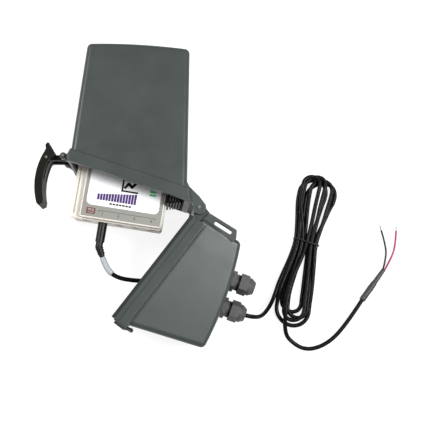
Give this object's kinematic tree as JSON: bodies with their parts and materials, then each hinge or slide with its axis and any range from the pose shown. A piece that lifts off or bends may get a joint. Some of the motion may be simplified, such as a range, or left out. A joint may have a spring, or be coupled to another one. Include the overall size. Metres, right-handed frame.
{
  "type": "data logger enclosure",
  "caption": "Hinged weatherproof enclosure, opened, with a slide-out sensor logger, toggle latch, cable glands and a tied two-core cable ending in bare wires.",
  "frame": {"origin": "centre of the enclosure's own box (cable left out), on the flat back that it lies on", "axes": "+Z out of the back through the front face, along the shortest extent; +Y along the cover's hinge-side wall, towards its far end; +X to the glands and cable"},
  "size_m": [0.3484, 0.2817, 0.076],
  "materials": {
    "shell": "fine moulded texture, grey-green",
    "seal": "matt",
    "steel": "drawn",
    "cradle": "matt",
    "latch": "satin moulded",
    "gland": "matt moulded",
    "logger_case": "satin off-white",
    "label": "printed film",
    "board": "solder mask",
    "jack": "matt",
    "contact": "tinned",
    "plug": "moulded",
    "sleeve": "printed film",
    "cable": "satin PVC",
    "tie": "satin",
    "shrink": "satin",
    "wire_black": "satin",
    "wire_red": "satin"
  },
  "bodies": {
    "base": {"lower_shell": "shell", "lower_rim_seal": "seal", "hinge_pin": "steel", "gland_1_body": "gland", "gland_1_washer": "seal", "gland_1_locknut": "gland", "gland_1_insert": "seal", "gland_2_body": "gland", "gland_2_washer": "seal", "gland_2_locknut": "gland", "gland_2_insert": "seal", "inner_lead": "cable", "cable_lead_in": "cable", "cable_hank": "cable", "hank_tie": "tie", "cable_tail": "cable", "heat_shrink": "shrink", "wire_black": "wire_black", "wire_red": "wire_red", "wire_tips": "contact"},
    "gland_cap_1": {"gland_1_cap": "gland"},
    "gland_cap_2": {"gland_2_cap": "gland"},
    "cover": {"cover_shell": "shell", "cover_mouth_seal": "seal", "logger_cradle": "cradle", "cradle_screws": "steel", "latch_cover_pin": "steel"},
    "logger": {"logger_front_case": "logger_case", "logger_rear_case": "logger_case", "logger_label_plate": "label", "circuit_board": "board", "battery_holder": "jack", "coin_cell": "steel", "case_screws": "steel", "port_jack_1": "jack", "port_jack_2": "jack", "port_jack_3": "jack", "port_jack_4": "jack", "service_jack": "jack", "plug_tip": "contact", "plug_body": "plug", "strain_relief": "plug", "label_sleeve": "sleeve"},
    "latch_link": {"latch_link_rear": "latch", "latch_link_front": "latch", "latch_lever_pin": "steel"},
    "latch_lever": {"latch_lever": "latch"}
  },
  "joints": [
    {"name": "cover_swing", "type": "hinge", "parent": "base", "child": "cover", "pos_m": [0.04552, -0.01554, 0.038], "axis": [0, 0, 1], "range_deg": [0, 70.6], "deforming": ["inner_lead"]},
    {"name": "logger_slide", "type": "slide", "parent": "cover", "child": "logger", "axis": [0.1461, 0.9893, 0], "range_m": [0, 0.0361]},
    {"name": "latch_link_swing", "type": "hinge", "parent": "cover", "child": "latch_link", "pos_m": [-0.07521, 0.03038, 0.0465], "axis": [0, 0, 1], "range_deg": [0, 64.5]},
    {"name": "latch_lever_swing", "type": "hinge", "parent": "latch_link", "child": "latch_lever", "pos_m": [-0.0908, 0.03017, 0.0465], "axis": [0, 0, 1], "range_deg": [-225.5, 0]},
    {"name": "gland_cap_1_turn", "type": "hinge", "parent": "base", "child": "gland_cap_1", "pos_m": [0.08959, -0.08228, 0.036], "axis": [0.9434, -0.3315, 0], "range_deg": [0, 540]},
    {"name": "gland_cap_2_turn", "type": "hinge", "parent": "base", "child": "gland_cap_2", "pos_m": [0.0811, -0.10643, 0.036], "axis": [0.9434, -0.3315, 0], "range_deg": [0, 540]}
  ],
  "couplings": [
    {"joint": "logger_slide", "follows": "cover_swing", "m_per_rad": 0.02921},
    {"joint": "latch_lever_swing", "follows": "latch_link_swing", "ratio": -3.493}
  ]
}
